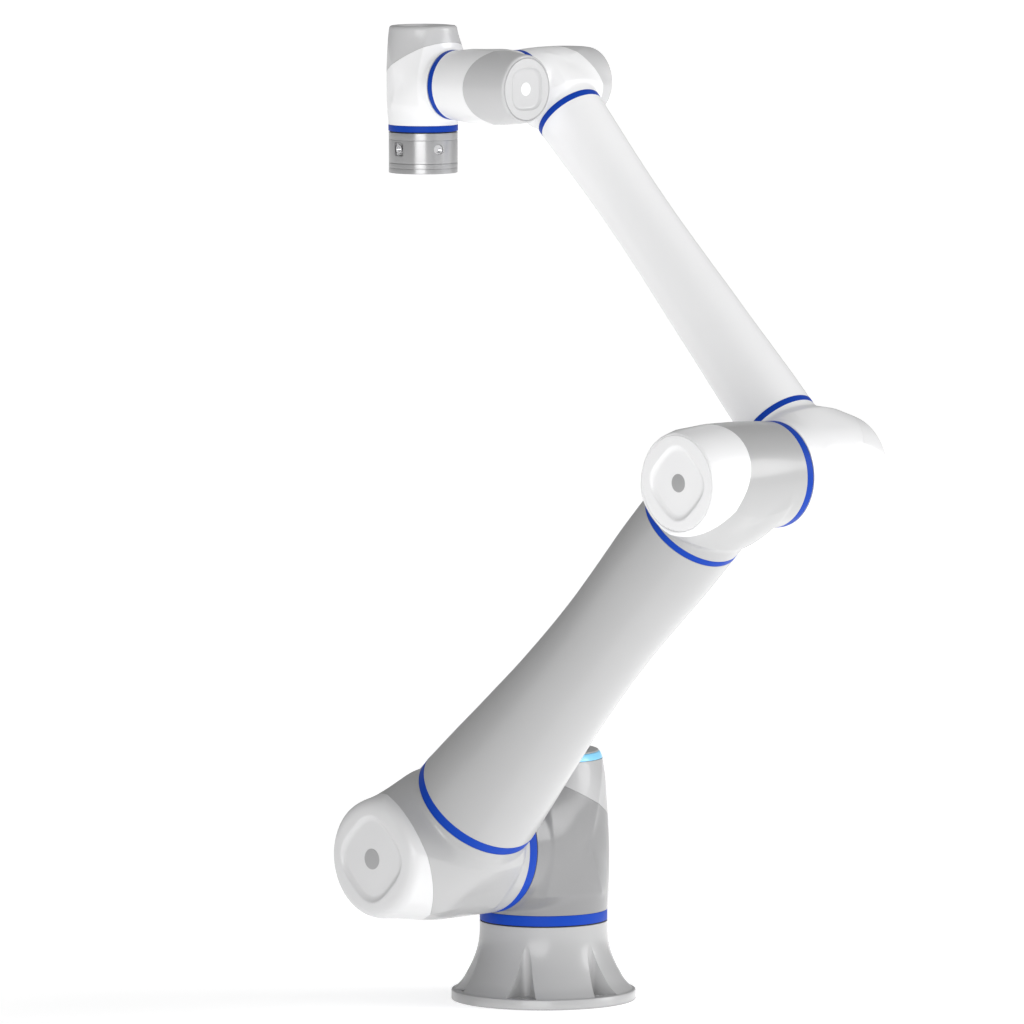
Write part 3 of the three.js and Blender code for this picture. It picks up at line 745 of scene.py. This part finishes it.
def base_casting():
    """The flared pedestal on its bolting flange, notched over each bolt hole, with a boss at the back."""
    height, radius = smooth_table(PEDESTAL, step=2.5)
    outline = [(0, 0), (FLANGE_RADIUS - 0.6, 0), (FLANGE_RADIUS, 0.6), (FLANGE_RADIUS, FLANGE_HEIGHT - 2.2),
               (FLANGE_RADIUS - 0.5, FLANGE_HEIGHT - 0.9), (FLANGE_RADIUS - 1.8, FLANGE_HEIGHT),
               (131.5, FLANGE_HEIGHT), (130.3, FLANGE_HEIGHT + 0.3)]
    outline += list(zip(radius, height))
    bore = 83
    outline += [(bore + 1, BASE_TOP), (bore, BASE_TOP - 1), (bore, BASE_FLOOR), (0, BASE_FLOOR)]
    mesh = turned_mesh(outline, 240)
    clean(mesh)
    side = PANEL_HALF + 4
    boss = block((-side, 84.5, PANEL_LOW - 5), (side, PANEL_FACE + 2, PANEL_HIGH + 4), 2.5)
    mesh = combined(mesh, boss, "UNION")
    side = PANEL_HALF + GAP
    window = block((-side, 70, PANEL_LOW - GAP), (side, 115, PANEL_HIGH + GAP), 2.0)
    cutters = [window]
    for i in range(6):
        turn = Matrix.Rotation(math.radians(60 * i), 4, "Z")
        hole = rod(BOLT_HOLE, -5, 20, 48)
        hole.transform(turn @ Matrix.Translation((BOLT_CIRCLE, 0, 0)))
        pocket = pocket_cutter()
        pocket.transform(turn)
        cutters += [pocket, hole]
    mesh = carved(mesh, *cutters)
    piece("base_casting_body", mesh, PLACE["base"], FINISH["base_paint"], "base", "base_paint",
          "base_casting")


SCREW_PLACES = [(x, z) for x in (-19.5, 19.5) for z in (-20.5, 20.5)]
PANEL_MIDDLE = Matrix.Translation((0, 0, (PANEL_LOW + PANEL_HIGH) / 2))
BACKWARDS = Matrix.Rotation(math.radians(-90), 4, "X")
OUTWARDS = PANEL_MIDDLE @ BACKWARDS  # the Z axis turned to point out of the panel's middle


def base_panel():
    """The dark panel in the boss and its four screws, sunk in round pockets."""
    panel = block((-PANEL_HALF, PANEL_FACE - 10, PANEL_LOW), (PANEL_HALF, PANEL_FACE, PANEL_HIGH), 1.6)
    hole = rod(13.3, 70, 110, 96)
    hole.transform(OUTWARDS)
    screws, sinks = [], []
    for x, z in SCREW_PLACES:
        place = Matrix.Translation((x, 0, z)) @ OUTWARDS
        sink = rod(3.6, 94.6, 110, 48)
        sink.transform(place)
        sinks.append(sink)
        head = rounded([(0, 94.7), (3.2, 94.7), (3.2, 96.6), (1.6, 97), (1.6, 95.6), (0, 95.6)], 0.3)
        screw = turned_mesh(head, 48)
        clean(screw)
        screw.transform(place)
        screws.append(screw)
    panel = carved(panel, hole, *sinks)
    piece("base_connector_panel_plate", panel, PLACE["base"], FINISH["dark_plastic"], "base",
          "dark_plastic", "base_connector_panel")
    for i, screw in enumerate(screws):
        piece(f"base_panel_screw_{i + 1}", screw, PLACE["base"], FINISH["machined_steel"], "base",
              "machined_steel")


def base_socket():
    """The round supply socket: a plated shell with a turned rim, and an insert with seven holes."""
    place = PLACE["base"] @ OUTWARDS
    shell = [(0, 80), (13, 80), (13, 98.3), (17, 98.3), (17, 100.5), (14.2, 100.5), (13.6, 101),
             (14.2, 101.5), (13.6, 102), (13.8, 102.9), (10.6, 102.9), (10.6, 92), (0, 92)]
    socket = turned_mesh(rounded(shell, 0.25, 2), 128)
    clean(socket)
    piece("base_socket_shell", socket, place, FINISH["plated_metal"], "base", "plated_metal", "base_socket")
    insert = turned_mesh(rounded([(0, 92.1), (10.3, 92.1), (10.3, 96), (0, 96)], 0.4), 96)
    clean(insert)
    circle, pins_round = 6, 6
    places = []
    for i in range(pins_round):
        a = 2 * math.pi * i / pins_round
        places.append((circle * math.cos(a), circle * math.sin(a), 0))
    pin_holes = []
    for centre in places + [(0, 0, 0)]:
        hole = rod(0.9, 90, 110, 24)
        hole.transform(Matrix.Translation(centre))
        pin_holes.append(hole)
    piece("base_socket_insert", carved(insert, *pin_holes), place, FINISH["dark_plastic"], "base",
          "dark_plastic")


base_casting()
base_panel()
base_socket()

# ---- Tool flange ---------------------------------------------------------------------------------
TOOL_TOP, TOOL_SEAM, TOOL_FACE, TOOL_RADIUS = -70.6, -115.0, -129.5, 50.0
TOOL_BOLT_CIRCLE, TOOL_BOLT_HOLE, TOOL_BOLT_DEPTH = 40, 3.4, 11
PILOT_RADIUS, PILOT_DEPTH = 25, 6
CONNECTOR_Z = -94


def tool_groove(height, depth=0.5, width=0.5):
    """The outline of a fine groove round the tool flange at a height, from the top down."""
    r = TOOL_RADIUS
    return [(r, height + width), (r - depth, height + width / 2), (r - depth, height - width / 2),
            (r, height - width)]


def on_tool_side(angle):
    """The matrix that turns the Z axis outwards through the tool flange's side, at an angle about it."""
    turn = Matrix.Rotation(math.radians(angle), 4, "Z")
    return Matrix.Translation((0, 0, CONNECTOR_Z)) @ turn @ ALONG_X


def tool_sleeve():
    """The turned sleeve, with a square recess and two bores for the connectors."""
    collar, bore, step = 34, 15, 6
    outline = [(bore, TOOL_TOP), (TOOL_RADIUS, TOOL_TOP), *tool_groove(-81),
               (TOOL_RADIUS, TOOL_SEAM + GAP), (collar, TOOL_SEAM + GAP), (collar, TOOL_TOP - step),
               (bore, TOOL_TOP - step)]
    sleeve = turned_mesh(rounded(outline, 0.4), 192)
    clean(sleeve)
    middle = -TOOL_RADIUS - 0.5
    recess = block((-8.5, middle - 7.5, CONNECTOR_Z - 10), (8.5, middle + 7.5, CONNECTOR_Z + 10), 0.8,
                   profile=0)
    cutters = [recess]
    for angle, radius in ((-90, 6.3), (-18, 7.3)):
        hole = rod(radius, 30, 60, 64)
        hole.transform(on_tool_side(angle))
        cutters.append(hole)
    piece("tool_flange_sleeve", carved(sleeve, *cutters), PLACE["wrist_3"], FINISH["tool_steel"],
          "tool_flange", "tool_steel", "tool_flange_body")


def tool_plate():
    """The mounting plate, with its centring recess and six blind bolt holes."""
    outline = [(0, TOOL_SEAM), (TOOL_RADIUS, TOOL_SEAM), *tool_groove(-121.9),
               (TOOL_RADIUS, TOOL_FACE), (PILOT_RADIUS, TOOL_FACE), (PILOT_RADIUS, TOOL_FACE + PILOT_DEPTH),
               (0, TOOL_FACE + PILOT_DEPTH)]
    plate = turned_mesh(rounded(outline, 0.5), 192)
    clean(plate)
    holes = []
    for i in range(6):
        hole = rod(TOOL_BOLT_HOLE, TOOL_FACE - 5, TOOL_FACE + TOOL_BOLT_DEPTH, 40)
        a = math.radians(60 * i)
        centre = (TOOL_BOLT_CIRCLE * math.cos(a), TOOL_BOLT_CIRCLE * math.sin(a), 0)
        hole.transform(Matrix.Translation(centre))
        holes.append(hole)
    piece("tool_mounting_disc", carved(plate, *holes), PLACE["wrist_3"], FINISH["tool_steel"],
          "tool_flange", "tool_steel", "tool_mounting_plate")


def connector(name, node, angle, radius, end):
    """A round sensor connector: a turned shell, a threaded barrel and a hollow mouth."""
    root, thread_turns, thread_length, wall, mouth = 36, 4, 5, 1.6, 4.5
    outline = [(0, root), (radius, root), (radius, end - thread_length)]
    for i in range(thread_turns):
        x = end - thread_length + i
        outline += [(radius - 0.1, x + 0.25), (radius - 0.6, x + 0.5), (radius - 0.6, x + 0.6),
                    (radius - 0.1, x + 0.85)]
    outline += [(radius - 0.2, end), (radius - wall, end), (radius - wall, end - mouth), (0, end - mouth)]
    mesh = turned_mesh(outline, 72)
    clean(mesh)
    piece(name, mesh, PLACE["wrist_3"] @ on_tool_side(angle), FINISH["plated_metal"], "tool_flange",
          "plated_metal", node)


tool_sleeve()
tool_plate()
connector("tool_connector_shell_a", "tool_connector_a", -90, 6.0, 49.4)
connector("tool_connector_shell_b", "tool_connector_b", -18, 7.0, 48.4)

# ---- Floor, lights and camera --------------------------------------------------------------------
RIGHT = Vector((1, 1, 0)).normalized()  # as the camera sees the arm
FRONT = Vector((1, -1, 0)).normalized()  # towards the camera


def stage():
    """A white studio floor that gives back the light of its lamps evenly."""
    bm = bmesh.new()
    bmesh.ops.create_grid(bm, x_segments=1, y_segments=1, size=60)
    mesh = bpy.data.meshes.new("studio_floor")
    bm.to_mesh(mesh)
    bm.free()
    floor = bpy.data.objects.new("studio_floor", mesh)
    floor.location = (0, 0, -0.0005)
    finish, _, _, shader = node_material("studio_floor")
    shader.inputs["Base Color"].default_value = (0.80, 0.80, 0.80, 1)
    shader.inputs["Roughness"].default_value = 0.8
    shader.inputs["Specular IOR Level"].default_value = 0.0
    shader.inputs["Emission Color"].default_value = (1, 1, 1, 1)
    shader.inputs["Emission Strength"].default_value = 0.60
    mesh.materials.append(finish)
    bpy.context.scene.collection.objects.link(floor)


def sky():
    """Soft light all round, a little stronger from the right, from the front and from above."""
    world = bpy.data.worlds.new("studio")
    world.use_nodes = True
    nodes, links = world.node_tree.nodes, world.node_tree.links
    background = nodes["Background"]
    place = nodes.new("ShaderNodeTexCoord")
    lean = nodes.new("ShaderNodeVectorMath")
    lean.operation = "DOT_PRODUCT"
    lean.inputs[1].default_value = 0.14 * RIGHT + 0.05 * FRONT + 0.06 * UP
    links.new(place.outputs["Generated"], lean.inputs[0])
    level = nodes.new("ShaderNodeMath")
    level.operation = "ADD"
    level.inputs[1].default_value = 0.36
    links.new(lean.outputs["Value"], level.inputs[0])
    links.new(level.outputs["Value"], background.inputs["Strength"])
    background.inputs["Color"].default_value = (1, 1, 1, 1)
    bpy.context.scene.world = world


def soft_sun(name, towards, spread, strength):
    """A wide distant lamp, in the given direction from the arm."""
    light = bpy.data.lights.new(name, "SUN")
    light.angle = math.radians(spread)
    light.energy = strength
    made = bpy.data.objects.new(name, light)
    made.rotation_euler = towards.to_track_quat("Z", "Y").to_euler()
    bpy.context.scene.collection.objects.link(made)


def floor_glow(centre, size, power):
    """A lit panel on the studio's floor, shining upwards and itself out of the camera's sight."""
    light = bpy.data.lights.new("floor_glow", "AREA")
    light.shape = "SQUARE"
    light.size = size
    light.energy = power
    made = bpy.data.objects.new("floor_glow", light)
    made.location = centre + Vector((0, 0, 0.002))
    made.rotation_euler = (math.pi, 0, math.radians(45))
    made.visible_camera = False
    bpy.context.scene.collection.objects.link(made)


def studio():
    """The floor and all the light, with plain colours straight from the scene."""
    stage()
    sky()
    soft_sun("right", RIGHT + 0.05 * FRONT + 0.32 * UP, 30, 1.25)
    soft_sun("front", FRONT - 0.16 * RIGHT + 0.10 * UP, 36, 1.45)
    floor_glow(2.4 * RIGHT + 1.2 * FRONT, 5.0, 44)
    bpy.context.scene.view_settings.view_transform = "Standard"


def camera():
    """A distant camera with a long lens, looking slightly down at the arm."""
    data = bpy.data.cameras.new("camera")
    data.sensor_width = 36
    data.lens = 421.875
    data.clip_end = 100
    made = bpy.data.objects.new("camera", data)
    made.location = (12.2877, -12.3530, 2.3926)
    made.rotation_euler = (math.radians(84.5), 0, math.radians(45))
    bpy.context.scene.collection.objects.link(made)
    bpy.context.scene.camera = made


studio()
camera()
